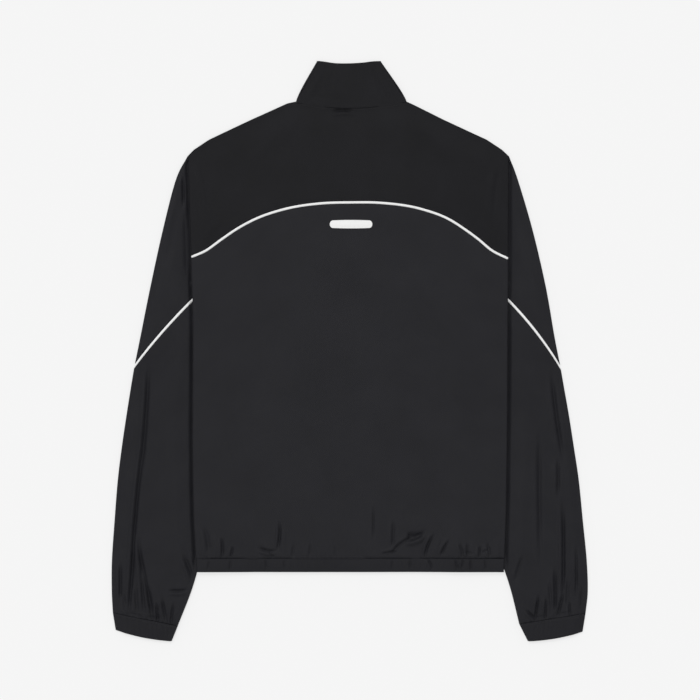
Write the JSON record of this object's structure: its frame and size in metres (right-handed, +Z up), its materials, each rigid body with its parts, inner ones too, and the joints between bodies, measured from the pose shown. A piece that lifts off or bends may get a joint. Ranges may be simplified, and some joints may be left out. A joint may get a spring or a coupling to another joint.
{
  "type": "track jacket",
  "caption": "Woven track jacket with a stand collar, zip front, piped yoke and sleeve seams and elastic hem and cuffs, laid flat with its back up.",
  "frame": {"origin": "centre of the laid-out jacket's footprint, on the surface it rests on", "axes": "+Z up through the back, +Y from the hem to the collar, -X to the wearer's left sleeve"},
  "size_m": [0.6652, 0.8104, 0.0083],
  "materials": {
    "black_cloth": "semi-dull woven polyester",
    "black_elastic": "gathered woven polyester over elastic",
    "white_piping": "satin cord piping",
    "white_label": "smooth woven label",
    "black_tape": "knitted zip tape and nylon coil",
    "black_metal": "black enamel"
  },
  "bodies": {
    "garment": {"back_body": "black_cloth", "back_yoke": "black_cloth", "yoke_piping": "white_piping", "front_left": "black_cloth", "front_right": "black_cloth", "collar": "black_cloth", "hem_band": "black_elastic", "sleeve_upper_l": "black_cloth", "sleeve_upper_r": "black_cloth", "sleeve_piping_l": "white_piping", "sleeve_piping_r": "white_piping", "sleeve_lower_l": "black_cloth", "sleeve_lower_r": "black_cloth", "cuff_l": "black_elastic", "cuff_r": "black_elastic", "label": "white_label", "zip_tape_l": "black_tape", "zip_tape_r": "black_tape", "zip_chain": "black_tape", "zip_slider": "black_metal"},
    "pull": {"zip_pull": "black_metal"}
  },
  "joints": [
    {"name": "pull_swing", "type": "hinge", "parent": "garment", "child": "pull", "pos_m": [0, 0.2974, 0.001], "axis": [1, 0, 0], "range_deg": [0, 120]}
  ]
}
